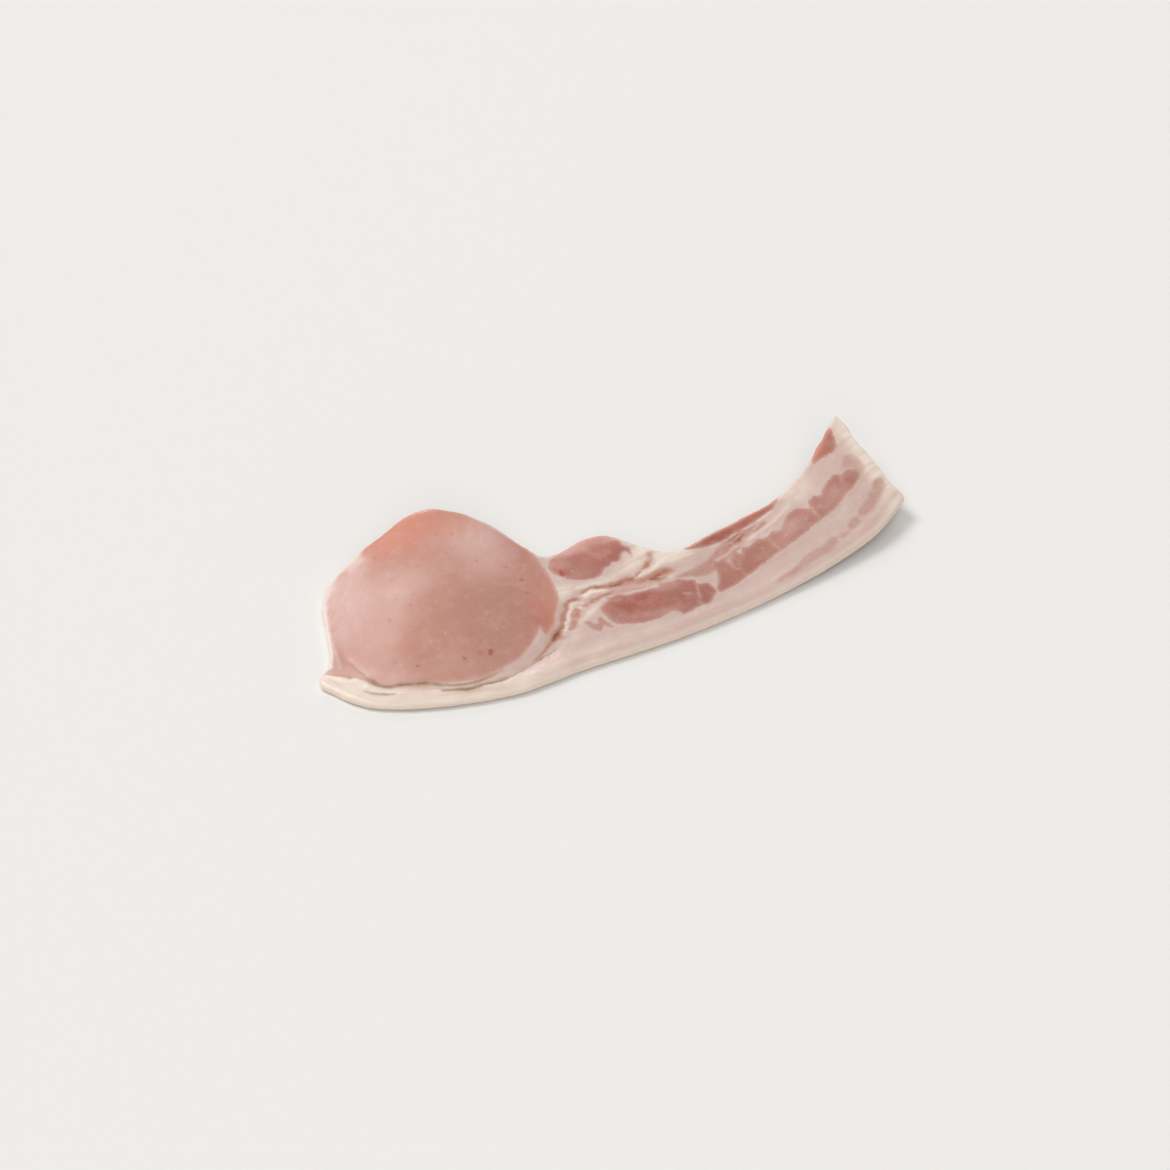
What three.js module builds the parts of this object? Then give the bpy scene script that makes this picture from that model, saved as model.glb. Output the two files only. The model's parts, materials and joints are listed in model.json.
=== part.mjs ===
// A raw middle bacon rasher: one slice, with the round loin eye at one end and the streaky belly at the other.
// Millimetres, +Z up. It lies on the plane Z = 0 with its length along X, its rind edge towards -Y
// and its lean edge towards +Y. The origin is under the middle of the slice.
import * as THREE from "three";

// Slice
const sliceThickness = 3.2;
const edgeRounding = 1.1; // how far in from the outline the slice reaches its full thickness
const edgeHeightShare = 0.55; // height of the cut edge, as a share of the thickness

// Outline seen from above. Both long edges run from the eye end to the tail end.
const rindEdgePoints = [
  [-131.6, -20.8], [-120.1, -36.9], [-105.8, -45.4], [-82.4, -52.4], [-57.7, -55.8], [-32, -53.3],
  [8.7, -51.5], [44.7, -46.9], [80.5, -39.3], [108.4, -30.4], [121.4, -23.2], [131, -16],
];
const eyeEdgePoints = [
  [-112.9, 34.2], [-98.2, 44.8], [-80.6, 51], [-63.5, 56], [-51.2, 52.8], [-36.3, 41], [-22.2, 16.6],
];
const bellyEdgePoints = [
  [-22.2, 16.6], [-15.5, 16.3], [-2, 21], [6.4, 19.9], [14.7, 8.7], [23.4, -2.1], [32.2, -3.8], [46, 1.1],
  [67.3, 4.5], [80.2, 6.5], [99.6, 16.5], [115.4, 29.9], [122.6, 36.1],
];
const eyeEndPoints = [
  [-131.6, -20.8], [-130.7, -16.2], [-126.1, -12.9], [-122.7, -3.8], [-120.6, 7.1], [-117.1, 24.2],
  [-112.9, 34.2],
];
const tailEndPoints = [
  [131, -16], [131.5, -14.6], [129.6, -8.8], [128, 3.7], [125, 21.2], [124.8, 30.7], [122.6, 36.1],
];

// How the slice lies: it stands off the surface in soft arches. Places and lengths along the slice are shares
// of its length from the eye end. Heights are those of the underside, at the lean edge and at the rind edge.
const arches = [
  { middle: 0.2, halfLength: 0.22, leanHeight: 10, rindHeight: 0, crestRounding: 0.4 },
  { middle: 0.6, halfLength: 0.12, leanHeight: 2.5, rindHeight: 0, crestRounding: 0.8 },
];
const tailLift = { start: 0.66, leanHeight: 17, rindHeight: 6, power: 1.6 };

// Relief of the upper face. Each muscle bellies up a little, and the fat sinks along the seams between them.
const muscles = [
  { centre: [-73, 3], halfLength: 50, halfWidth: 47, turnDegrees: -14, height: 0.7 },
  { centre: [-4.5, 6.5], halfLength: 19, halfWidth: 11, turnDegrees: 12, height: 0.6 },
  { centre: [12, -29.5], halfLength: 25, halfWidth: 10, turnDegrees: -10, height: 0.5 },
  { centre: [82, -10], halfLength: 44, halfWidth: 9, turnDegrees: 22, height: 0.5 },
];
const seams = [
  { line: [[-119, -8], [-114, -26], [-104, -35], [-78, -46], [-58, -47], [-40, -39]], halfWidth: 4, depth: 0.5 },
  { line: [[-40, -39], [-26, -20], [-14, -11], [8, -12.5], [24, -15]], halfWidth: 5, depth: 0.7 },
  { line: [[19, -3], [14, -9]], halfWidth: 4, depth: 0.5 },
];
const seamRounding = 1;

// Facets
const cellsAlong = 70;
const cellsAcross = 24;

const curveThrough = (points) =>
  new THREE.CatmullRomCurve3(
    points.map(([x, y]) => new THREE.Vector3(x, y, 0)),
    false,
    "centripetal",
  );

const rindEdge = curveThrough(rindEdgePoints);
const leanEdge = new THREE.CurvePath();
leanEdge.add(curveThrough(eyeEdgePoints));
leanEdge.add(curveThrough(bellyEdgePoints));
const eyeEnd = curveThrough(eyeEndPoints);
const tailEnd = curveThrough(tailEndPoints);

// Shares from 0 to 1 with one short step at each end, which rounds the edge, and equal steps between.
function stepsWithEdges(cells, length) {
  const short = edgeRounding / length;
  const inner = cells - 2;
  const steps = [0];
  for (let i = 0; i <= inner; i++) steps.push(short + ((1 - 2 * short) * i) / inner);
  steps.push(1);
  return steps;
}

// A patch stretched between the four edges: along runs from the eye to the tail, across from rind to lean.
function placeInOutline(along, across) {
  const rind = rindEdge.getPointAt(along);
  const lean = leanEdge.getPointAt(along);
  const eye = eyeEnd.getPointAt(across);
  const tail = tailEnd.getPointAt(across);
  const betweenLong = rind.clone().lerp(lean, across);
  const betweenEnds = eye.clone().lerp(tail, along);
  const rindCorners = rindEdge.getPointAt(0).lerp(rindEdge.getPointAt(1), along);
  const leanCorners = leanEdge.getPointAt(0).lerp(leanEdge.getPointAt(1), along);
  return betweenLong.add(betweenEnds).sub(rindCorners.lerp(leanCorners, across));
}

// 1 at the crest, 0 from a distance of 1 on. The foot runs out level, and the crest is as round as asked.
function hump(distance, crestRounding) {
  const fall = Math.hypot(distance, crestRounding) - crestRounding;
  const fallAtFoot = Math.hypot(1, crestRounding) - crestRounding;
  return Math.max(0, 1 - fall / fallAtFoot) ** 2;
}

function undersideHeight(along, across) {
  const mix = (wave) => THREE.MathUtils.lerp(wave.rindHeight, wave.leanHeight, across);
  let height = 0;
  for (const arch of arches) {
    height += hump((along - arch.middle) / arch.halfLength, arch.crestRounding) * mix(arch);
  }
  const tail = Math.max(0, (along - tailLift.start) / (1 - tailLift.start));
  return height + tail ** tailLift.power * mix(tailLift);
}

function reliefOfMuscle(place, muscle) {
  const turn = THREE.MathUtils.degToRad(muscle.turnDegrees);
  const offset = new THREE.Vector2(place.x - muscle.centre[0], place.y - muscle.centre[1]);
  offset.rotateAround(new THREE.Vector2(), -turn);
  const reach = Math.hypot(offset.x / muscle.halfLength, offset.y / muscle.halfWidth);
  return muscle.height * Math.max(0, 1 - reach ** 4);
}

function reliefOfSeam(place, seam) {
  const corners = seam.line.map(([x, y]) => new THREE.Vector3(x, y, 0));
  let distance = Infinity;
  for (let i = 1; i < corners.length; i++) {
    const stretch = new THREE.Line3(corners[i - 1], corners[i]);
    const nearest = stretch.closestPointToPoint(place, true, new THREE.Vector3());
    distance = Math.min(distance, nearest.distanceTo(place));
  }
  return -seam.depth * hump(distance / seam.halfWidth, seamRounding);
}

function upperRelief(place) {
  let relief = 0;
  for (const muscle of muscles) relief += reliefOfMuscle(place, muscle);
  for (const seam of seams) relief += reliefOfSeam(place, seam);
  return relief;
}

// Upper and lower faces share one grid, split into triangles alike, and a strip closes them round the outline.
function sliceGeometry() {
  const alongSteps = stepsWithEdges(cellsAlong, rindEdge.getLength());
  const acrossSteps = stepsWithEdges(cellsAcross, tailEnd.getLength());
  const columns = alongSteps.length;
  const rows = acrossSteps.length;
  const upper = [];
  const lower = [];
  acrossSteps.forEach((across, row) => {
    alongSteps.forEach((along, column) => {
      const place = placeInOutline(along, across);
      const onEdge = row === 0 || row === rows - 1 || column === 0 || column === columns - 1;
      const rounding = onEdge ? (sliceThickness * (1 - edgeHeightShare)) / 2 : 0;
      const relief = onEdge ? 0 : upperRelief(place);
      const height = undersideHeight(along, across);
      upper.push(place.x, place.y, height + sliceThickness - rounding + relief);
      lower.push(place.x, place.y, height + rounding);
    });
  });

  const lowerStart = upper.length / 3;
  const at = (row, column) => row * columns + column;
  const index = [];
  for (let row = 0; row < rows - 1; row++) {
    for (let column = 0; column < columns - 1; column++) {
      const [a, b] = [at(row, column), at(row, column + 1)];
      const [c, d] = [at(row + 1, column + 1), at(row + 1, column)];
      index.push(a, b, c, a, c, d);
      for (const corner of [a, c, b, a, d, c]) index.push(lowerStart + corner);
    }
  }

  const outline = [];
  for (let column = 0; column < columns - 1; column++) outline.push(at(0, column));
  for (let row = 0; row < rows - 1; row++) outline.push(at(row, columns - 1));
  for (let column = columns - 1; column > 0; column--) outline.push(at(rows - 1, column));
  for (let row = rows - 1; row > 0; row--) outline.push(at(row, 0));
  outline.forEach((here, i) => {
    const next = outline[(i + 1) % outline.length];
    index.push(lowerStart + here, lowerStart + next, next, lowerStart + here, next, here);
  });

  const geometry = new THREE.BufferGeometry();
  geometry.setAttribute("position", new THREE.Float32BufferAttribute([...upper, ...lower], 3));
  geometry.setIndex(index);
  geometry.computeVertexNormals();
  return geometry;
}

const curedPork = new THREE.MeshStandardMaterial({ color: 0xd8aa9c, roughness: 0.42, metalness: 0 });
const rasher = new THREE.Mesh(sliceGeometry(), curedPork);
rasher.name = "rasher";

const part = new THREE.Group();
part.add(rasher);

export default part;
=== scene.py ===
import json
import math

import bpy
import numpy as np
from mathutils import Euler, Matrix, Vector, kdtree, noise

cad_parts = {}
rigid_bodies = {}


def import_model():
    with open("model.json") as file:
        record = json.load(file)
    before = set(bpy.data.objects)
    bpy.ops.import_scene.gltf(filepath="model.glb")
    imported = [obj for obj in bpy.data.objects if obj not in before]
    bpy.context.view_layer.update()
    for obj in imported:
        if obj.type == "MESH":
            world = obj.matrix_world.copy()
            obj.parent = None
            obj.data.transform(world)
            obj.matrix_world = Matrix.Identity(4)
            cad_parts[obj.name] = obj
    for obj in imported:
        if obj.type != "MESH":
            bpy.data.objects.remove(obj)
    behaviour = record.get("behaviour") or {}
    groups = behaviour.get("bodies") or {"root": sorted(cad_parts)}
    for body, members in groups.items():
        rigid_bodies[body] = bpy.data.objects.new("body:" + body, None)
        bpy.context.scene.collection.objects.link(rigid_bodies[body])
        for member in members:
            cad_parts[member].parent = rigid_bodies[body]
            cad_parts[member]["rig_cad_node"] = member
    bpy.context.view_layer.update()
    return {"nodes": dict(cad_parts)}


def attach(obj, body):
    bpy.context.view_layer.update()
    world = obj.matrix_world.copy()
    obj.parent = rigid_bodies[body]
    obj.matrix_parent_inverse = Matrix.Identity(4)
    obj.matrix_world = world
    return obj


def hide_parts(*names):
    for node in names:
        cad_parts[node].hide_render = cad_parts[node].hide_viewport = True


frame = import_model()
mm = 0.001
print("frame loaded, nodes:", sorted(frame["nodes"]))


def toLinear(hexColour):
    # from sRGB
    parts = [int(hexColour[i:i + 2], 16) / 255 for i in (1, 3, 5)]
    return (*[p / 12.92 if p <= 0.04045 else ((p + 0.055) / 1.055) ** 2.4 for p in parts], 1.0)


def addNode(tree, kind, settings=None, inputs=None, output=0):
    # gives back one output of the new node; a text among the inputs is a hex colour
    node = tree.nodes.new("ShaderNode" + kind)
    for name, value in (settings or {}).items():
        setattr(node, name, value)
    for name, value in (inputs or {}).items():
        if isinstance(value, bpy.types.NodeSocket):
            tree.links.new(value, node.inputs[name])
        else:
            node.inputs[name].default_value = toLinear(value) if isinstance(value, str) else value
    return node.outputs[output] if len(node.outputs) else node


# camera: the photograph's place and angle, aimed at a point on the floor; lengths in mm
cameraSet = {
    "aim": (-10.9, -3.9, 0.0),
    "distance": 1127.7,
    "azimuth": -20.0,  # degrees, and so for the next two
    "elevation": 41.49,
    "roll": -2.48,
    "lens": 83.07,
    "sensor": 36.0,
    "nearest": 10.0,  # nothing closer is shown
}


def makeCamera():
    turn = Euler((math.radians(90 - cameraSet["elevation"]), 0, math.radians(cameraSet["azimuth"])), "XYZ")
    roll = Euler((0, 0, math.radians(cameraSet["roll"])), "XYZ").to_matrix()
    facing = turn.to_matrix() @ roll
    data = bpy.data.cameras.new("photoCamera")
    data.sensor_width = cameraSet["sensor"]
    data.lens = cameraSet["lens"]
    data.clip_start = cameraSet["nearest"] * mm
    camera = bpy.data.objects.new("photoCamera", data)
    bpy.context.scene.collection.objects.link(camera)
    back = facing @ Vector((0, 0, cameraSet["distance"] * mm))
    camera.location = Vector(cameraSet["aim"]) * mm + back
    camera.rotation_euler = facing.to_euler()
    bpy.context.scene.camera = camera


makeCamera()
print("camera placed")

# studio: soft light from behind and the left, weaker ones overhead and in front, a pale floor and horizon;
# the floor's size is in metres, and a light's spread in degrees
studio = {
    "floorSize": 60.0,
    "floorColour": "#EDECEA",
    "floorRoughness": 0.7,
    "floorSpecular": 0.2,
    "skyColour": "#FFFFFF",
    "skyHorizon": 0.85,  # strength there and, next, overhead
    "skyTop": 0.18,
    "skyFade": 0.40,  # height of the fade from horizon to top, as the sine of its angle
    "lights": {
        "backLight": {"from": (-0.90, 1.30, 1.90), "spread": 28, "strength": 1.60, "colour": "#FFFDFA"},
        "lowLight": {"from": (0.20, 0.87, 0.45), "spread": 16, "strength": 0.40, "colour": "#FFFFFF"},
        "topLight": {"from": (0.10, -0.10, 1.00), "spread": 60, "strength": 0.60, "colour": "#FFFFFF"},
        "frontLight": {"from": (-0.70, -1.70, 1.20), "spread": 50, "strength": 0.90, "colour": "#FFFEFC"},
    },
}


def makeStudio():
    bpy.ops.object.select_all(action="DESELECT")
    bpy.ops.mesh.primitive_plane_add(size=studio["floorSize"])
    floor = bpy.context.active_object
    floor.name = floor.data.name = "paleFloor"
    paint = bpy.data.materials.new("matt studio paint")  # even and pale, so that only the slice has colour
    paint.use_nodes = True
    shader = paint.node_tree.nodes["Principled BSDF"]
    shader.inputs["Base Color"].default_value = toLinear(studio["floorColour"])
    shader.inputs["Roughness"].default_value = studio["floorRoughness"]
    shader.inputs["Specular IOR Level"].default_value = studio["floorSpecular"]
    floor.data.materials.append(paint)

    # the sky is pale at the horizon, as a studio's far wall is, and darker overhead
    world = bpy.data.worlds.new("studioSky")
    world.use_nodes = True
    tree = world.node_tree
    direction = addNode(tree, "TexCoord", output="Generated")
    height = addNode(tree, "SeparateXYZ", None, {"Vector": direction}, "Z")
    fade = addNode(tree, "MapRange", None, {
        "Value": height, "From Min": 0.0, "From Max": studio["skyFade"],
        "To Min": studio["skyHorizon"], "To Max": studio["skyTop"]})
    sky = tree.nodes["Background"]
    sky.inputs["Color"].default_value = toLinear(studio["skyColour"])
    tree.links.new(fade, sky.inputs["Strength"])
    bpy.context.scene.world = world
    bpy.context.scene.view_settings.view_transform = "Standard"

    for name, spec in studio["lights"].items():
        data = bpy.data.lights.new(name, "SUN")
        data.angle = math.radians(spec["spread"])
        data.energy = spec["strength"]
        data.color = toLinear(spec["colour"])[:3]
        lamp = bpy.data.objects.new(name, data)
        bpy.context.scene.collection.objects.link(lamp)
        lamp.location = spec["from"]
        lamp.rotation_euler = (-Vector(spec["from"])).to_track_quat("-Z", "Y").to_euler()


makeStudio()
print("floor and lights placed")

# The slice and what its cut face shows. Sizes are in mm, and places are those seen from above: X runs from
# the eye to the tail and Y from the rind to the lean edge.
rasher = {
    "name": "rasherSlice",
    "mergeGap": 0.01,  # points closer than this become one
    "quadAngle": 60,  # degrees that two triangles joined to a quad may be out of true
    "smoothLevels": 2,
    "lineStep": 0.8,  # between the points of a smoothed line
    "far": 8.0,  # past which a distance is cut off
    "refineSeam": 2.0,  # faces this close to a seam are made finer,
    "refineLean": 0.9,  # as are those this close to the border of the lean
    "refinePit": 2.0,  # and to a pit
    # upward part of the normal from which a face is on the upper side, over which a point comes to be on it,
    # and below which a point is on the cut edge
    "upperFace": 0.5,
    "upperFade": (0.15, 0.7),
    "edgeLimit": 0.35,
    # each pattern has its own level of the noise, so that no two run alike
    "noiseLevels": {"undulation": 0, "wiggles": (20, 30), "edge": 40, "patches": 50, "crumple": 60},
    # muscles as loops; redness runs from pale to deep
    "muscles": {
        "loinEye": {
            "loop": [(-57, 62), (-43, 46), (-33, 33.5), (-25.4, 22), (-23.8, 8), (-23.8, -2), (-25, -10.5),
                     (-27.7, -15.8), (-30.3, -20.3), (-32.5, -25), (-34.6, -27), (-36.6, -28.8),
                     (-38.2, -29.6), (-38.6, -27.4), (-38.8, -25), (-40, -26.8), (-41.4, -28.8),
                     (-43.6, -31.2), (-46.4, -33.8), (-54, -39.5), (-70, -43.4), (-82, -41.6),
                     (-89.5, -38.6), (-97, -36),
                     (-104, -34.6), (-110.7, -31.6), (-113.4, -28), (-115.4, -24.8), (-117.6, -22.6),
                     (-119.6, -22.4), (-122.4, -20), (-126.4, -17), (-132, -10), (-130, 6), (-124, 38),
                     (-102, 56), (-76, 64)],
            "redness": 0.40,
        },
        "smallMuscle": {
            "loop": [(-22.4, 8.4), (-20.4, 12.2), (-16.5, 16), (-7.2, 19), (0, 24), (8, 21), (11, 13),
                     (11.4, 8.6), (13, 5.4), (12.6, 1.4), (11.6, 2.6), (10.6, 4.2), (8.8, 3.6), (7.1, 0.8),
                     (5.4, 0), (3.6, 0.7), (1.8, -0.8), (-1, -1.6), (-3.6, -4), (-7.1, -4.8),
                     (-11.7, -4.2), (-15.4, -2.4), (-18.6, 0.6), (-21.3, 4)],
            "redness": 0.76,
        },
        "innerStreak": {
            "loop": [(-11.8, -24), (-9, -20.2), (-5.1, -18.4), (-1.4, -18.5), (3, -20.3), (10.6, -21.2),
                     (14.2, -22.2), (16.5, -20.7), (20.6, -21.6), (24, -20.8), (28, -23), (30.2, -23.8),
                     (30.3, -26.4), (31.8, -26.8), (34.4, -27.2), (35.9, -30), (35.9, -33.7), (33.6, -36.1),
                     (31, -39), (28.4, -39.3), (25.4, -39.2), (21.8, -40.5), (18.3, -40.5), (16.7, -38.6),
                     (14.6, -37.6), (7.4, -38.9), (1.6, -38.8), (-4.2, -37), (-8.4, -35), (-10.6, -31)],
            "redness": 0.64,
        },
        "middleStreak": {
            "loop": [(41.8, -18.8), (44.2, -16.4), (47, -16.8), (48.6, -18.8), (50.2, -16), (53.2, -14.6),
                     (54.8, -16.2), (57, -12.8), (58.6, -14.2), (61, -13.4), (64.4, -11.8), (66.6, -12.9),
                     (68.9, -12.8), (71.6, -11), (74.6, -11.8), (78.1, -8.6), (82.4, -4.4), (87, -3.7),
                     (91.2, -6.2), (92.6, -2.5), (95.9, -0.7), (98.5, -1.7), (101, 1.1),
                     (104.9, 4.4), (108.9, 6.1), (111.3, 4.4), (114.4, 6.1), (117.8, 4.6), (118.6, 1.6),
                     (115, -2.2), (111, -4.4), (102.5, -9.9), (94.1, -13.2), (84.4, -17.5), (73.7, -21.1),
                     (63.5, -25.1), (57.3, -27.4), (46.7, -32.2), (37.4, -34.4), (38.2, -30), (40.4, -26)],
            "redness": 0.56,
        },
        "edgeStreak": {
            "loop": [(34, -4.6), (38, -5.6), (43, -6), (48, -6), (53, -5.2), (57, -3.8), (62, -3), (68, -1.4),
                     (74, 0.2), (78.6, 2.4), (82, 6.6), (82, 12), (66, 10), (46, 6), (34, 0)],
            "redness": 0.66,
        },
        "tailTop": {
            "loop": [(103, 17.4), (107.5, 16.6), (112, 17.6), (115.9, 19.6), (117.4, 25.5), (116.8, 33),
                     (109, 32)],
            "redness": 0.60,
        },
    },
    "rednessFade": (-2.5, 0.5),  # from outside a muscle's border to inside
    # fat that parts the lobes of the lean in thin lines, then finer lines and flecks that only pale it
    "septa": [
        [(68.4, -12), (69.4, -17.8), (71.4, -23)],
        [(91, -4.4), (92.4, -10), (94, -15)],
        [(111.6, 6), (110.2, 1.6)],
        [(27, -36.6), (28, -40.5)],
    ],
    "septumHalfWidth": -0.1,  # below 0 a septum only pales the lean
    "veins": [
        [(22.8, -28.5), (22.8, -30.4), (24.4, -31.3), (26.6, -30)],
        [(48, -18), (49.2, -24), (52.2, -24.4)],
        [(30.6, -26), (28.8, -31), (27.6, -37)],
    ],
    "veinWidth": 0.8,
    "flecks": [(-74, 1.6), (-89, -8.4), (-64, 18.4), (-77, 20.3), (-46.2, 44.4), (105.8, 0.3), (87.3, -10.7),
               (95.4, -6.7)],
    "fleckSize": 0.7,
    # lean that only tints the fat, and shade under the eye: strips with half widths and gaps, or loops
    "tints": {
        "rindStreak": {
            "line": [(61.8, -39), (73.5, -34.5), (80, -31.4), (88, -29.6), (94.6, -25.4), (99, -25.4),
                     (106, -20.4), (114.6, -15.2), (120, -10.6), (124.5, -5)],
            "halfWidths": [1.2, 2.2, 2.8, 3.0, 2.6, 1.4, 2.8, 2.8, 2.8, 3.0],
            "gaps": [36.5, 42.5, 51.5], "strength": 0.62,
        },
        "tailLobe": {
            "loop": [(112.5, 7.5), (114, 11), (116.5, 14), (120, 13.6), (121.8, 10), (122.4, 5.5),
                     (120.6, 1.5), (118, 0), (117, 5)],
            "strength": 0.50,
        },
        "foldPatch": {
            "loop": [(-21.2, -28.2), (-19, -28.6), (-17.4, -31), (-15.8, -31), (-14.8, -28.2), (-13, -28.8),
                     (-12, -32), (-10.8, -36.6), (-12.6, -36), (-13.8, -34), (-15, -35), (-16.2, -36.6),
                     (-18.4, -35), (-20.2, -31.8)],
            "strength": 0.85, "fade": (-0.7, 0.9),
        },
        "foldHaze": {
            "loop": [(-6, -14.6), (0, -12.2), (6, -12), (12, -13.4), (16, -15), (14, -18.6), (8, -19.8),
                     (1, -18.8), (-5, -17.6)],
            "strength": 1.0,
        },
        "foldStain": {
            "loop": [(8, -14), (11, -12.8), (16, -11.8), (22, -12.2), (25.4, -15), (22, -17), (17, -19),
                     (12, -18)],
            "strength": 0.95,
        },
        "creviceEnd": {
            "loop": [(13.4, -8.4), (14, -6.6), (16.4, -5.6), (17.2, -3), (18, 0.4), (20, 0.4), (20.4, -3),
                     (20, -6), (18.4, -8), (15.6, -8.8)],
            "strength": 0.45,
        },
        "underEyeShade": {
            "line": [(-111, -33.4), (-106, -35), (-102, -36.4), (-96, -38.4), (-90, -41.2), (-84, -44.8),
                     (-76, -46.4), (-66, -46.6), (-60, -45.6)],
            "halfWidths": [0.8, 1.2, 1.2, 2.0, 1.6, 1.6, 1.4, 1.2, 0.6],
            "gaps": [], "strength": 0.36,
        },
        "neckBand": {
            "line": [(24, -19), (34, -20), (42, -17), (47, -13.6), (53, -10), (58, -7.6), (64, -4),
                     (68, -2)],
            "halfWidths": [1.0, 3.2, 4.0, 4.4, 4.4, 3.6, 2.4, 1.2],
            "gaps": [], "strength": 0.75,
        },
    },
    "gapLength": 1.6,
    "gapShare": 0.9,  # of its width that a strip loses at a gap
    "tintFade": (-1.6, 1.8),  # from outside a tint's border to inside, where it has no fade of its own
    # folds in the fat: points with how dark the fold is there and its width, then its depth; those along the
    # rim are shaded olive, the others are brown, partly a brown deposit and partly painted shade in the
    # crease
    "seams": {
        "underEye": {
            "line": [(-118, -10, 0.2, 0.8), (-116.4, -15, 0.25, 0.8), (-113.8, -24, 0.3, 0.8),
                     (-112.4, -26.6, 0.85, 1.0), (-110.4, -30.4, 0.7, 1.2), (-107.6, -32.8, 0.85, 1.0),
                     (-102, -34.2, 0.9, 1.0), (-98, -35.8, 0.85, 1.0), (-93.5, -37.2, 0.95, 1.1),
                     (-90, -39.2, 0.8, 1.1), (-86, -41.6, 0.45, 1.0), (-82, -43.2, 0.75, 1.0),
                     (-77, -44.5, 0.85, 0.8), (-72, -44.6, 0.8, 0.8), (-66, -43.6, 0.6, 0.8),
                     (-59, -42, 0.2, 0.7)],
            "depth": 0.06, "layer": "shade",
        },
        "rimLine": {
            "line": [(-118, -31, 0.2, 0.7), (-113, -35, 0.5, 0.9), (-109, -37.4, 0.6, 0.9),
                     (-104, -39, 0.2, 0.7)],
            "depth": 0.06, "layer": "shade",
        },
        "rimFold": {
            "line": [(-90, -43.6, 0.4, 0.8), (-84, -45.6, 0.75, 0.9), (-77, -47.5, 1.0, 1.0),
                     (-71, -47.3, 0.85, 0.9), (-65, -47.8, 0.9, 0.9), (-58, -46.6, 0.35, 0.8),
                     (-50, -43.9, 0.2, 0.6), (-45, -42, 0.8, 0.6), (-41, -40.6, 0.7, 0.5),
                     (-36, -38, 0.3, 0.6)],
            "depth": 0.15, "layer": "shade",
        },
        "eyeFold": {
            "line": [(-50, -43, 0.1, 1.0), (-46, -41, 0.35, 0.9), (-42.8, -38.6, 0.4, 0.9),
                     (-39.4, -35.9, 0.5, 1.0), (-36.6, -33.6, 0.8, 1.3), (-34.2, -31.5, 1.3, 1.8),
                     (-31.5, -28.6, 0.95, 1.4), (-29.2, -25.3, 0.6, 1.3), (-27.1, -21.3, 0.8, 1.2),
                     (-25.4, -18.5, 0.5, 1.2), (-23.9, -15.7, 0.6, 1.2), (-22, -14.1, 0.55, 1.2),
                     (-19.6, -13.4, 0.65, 1.2), (-17.9, -14.1, 0.55, 1.2), (-17.8, -16.5, 0.45, 1.2)],
            "depth": 0.09,
        },
        "innerFold": {
            "line": [(-28.6, -31.8, 0.55, 1.3), (-27.2, -30, 0.65, 1.4), (-25.2, -27.6, 0.75, 1.6),
                     (-23.1, -24.9, 0.6, 1.9), (-21.5, -21.9, 0.75, 1.9), (-20.2, -20, 0.7, 1.7),
                     (-18.6, -19.6, 0.6, 1.4)],
            "depth": 0.10,
        },
        "innerFoldTop": {
            "line": [(-18.8, -20.6, 0.6, 1.2), (-16.7, -19.3, 0.6, 1.4), (-14.7, -18.3, 0.65, 1.5),
                     (-12.6, -18.1, 0.9, 1.8), (-10.5, -17.8, 0.85, 1.6), (-7.6, -16.6, 0.85, 1.4),
                     (-4.7, -16.3, 0.7, 1.3), (-2, -16, 0.4, 1.2)],
            "depth": 0.13,
        },
        "longFold": {
            "line": [(-15.8, -12.6, 0.45, 1.2), (-14.4, -10.4, 0.6, 1.1), (-11.6, -9.6, 0.45, 1.0),
                     (-9.2, -9.5, 0.65, 1.0), (-6.4, -10.6, 0.85, 1.3), (-3.2, -11.6, 0.8, 1.7),
                     (0, -12.2, 0.9, 2.1), (3.4, -11.8, 0.9, 2.0), (6, -11.4, 0.9, 1.7),
                     (9.6, -11.8, 0.6, 1.2)],
            "depth": 0.14,
        },
        "longFoldEnd": {
            "line": [(5.6, -15.8, 0.5, 1.6), (9.4, -14.6, 0.85, 2.0), (12, -14.8, 0.8, 1.8),
                     (14.6, -15.4, 0.9, 2.2), (16.4, -16, 1.1, 2.6), (19, -14.2, 0.8, 2.0),
                     (21.4, -14, 0.7, 1.5), (24.4, -15.2, 0.85, 1.4)],
            "depth": 0.13,
        },
        "crevice": {
            "line": [(20.2, 0.8, 0.25, 1.8), (19.2, -2.7, 0.3, 2.0), (17.6, -5.4, 0.45, 1.9),
                     (15.8, -7.3, 0.75, 1.4), (14, -8, 0.5, 1.0), (12.5, -8.4, 0.3, 0.8),
                     (10, -10.4, 0.45, 0.9), (7.6, -11.8, 0.55, 0.9)],
            "depth": 0.16,
        },
        "bellyFold": {
            "line": [(47, -13.4, 0.3, 1.2), (51, -10.8, 0.5, 1.3), (54, -9, 0.8, 1.3), (57, -8.2, 1.0, 1.4),
                     (59.5, -6.4, 0.75, 1.2), (63, -3.4, 0.4, 1.0)],
            "depth": 0.10,
        },
        "bellyCrumbs": {
            "line": [(52, -7.6, 0.4, 0.8), (55, -6.6, 0.75, 0.9), (58.4, -4.6, 0.7, 0.9),
                     (62.4, -2.4, 0.4, 0.8)],
            "depth": 0.06,
        },
        "bellySpot": {
            "line": [(63, -8, 0.2, 0.9), (66, -6.4, 0.45, 1.0), (69.4, -4.8, 0.65, 1.1),
                     (73, -2.4, 0.3, 0.9)],
            "depth": 0.05,
        },
    },
    "seamSlope": 1.8,  # width of the hollow, as a share of the brown line's
    "seamHaze": (2.4, 0.3),  # a fainter brown round the line: its width, as such a share, and its strength
    "seamEnd": 2.5,  # length in which a seam or ridge runs out
    "seamWiggle": [(4.0, 0.5), (1.6, 0.25)],  # size of the wiggles and how far they go
    "seamPatches": (2.8, 0.92, 0.35),  # size of the lighter and darker stretches, middle and swing
    "seamLeast": 0.3,  # strength of the lightest stretches
    # what stands up pale, with points, width and strength: the eye's corner, a painted sheen; its end, pale
    # skin with a painted highlight; and folds of fat beside the seams
    "ridges": [
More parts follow.
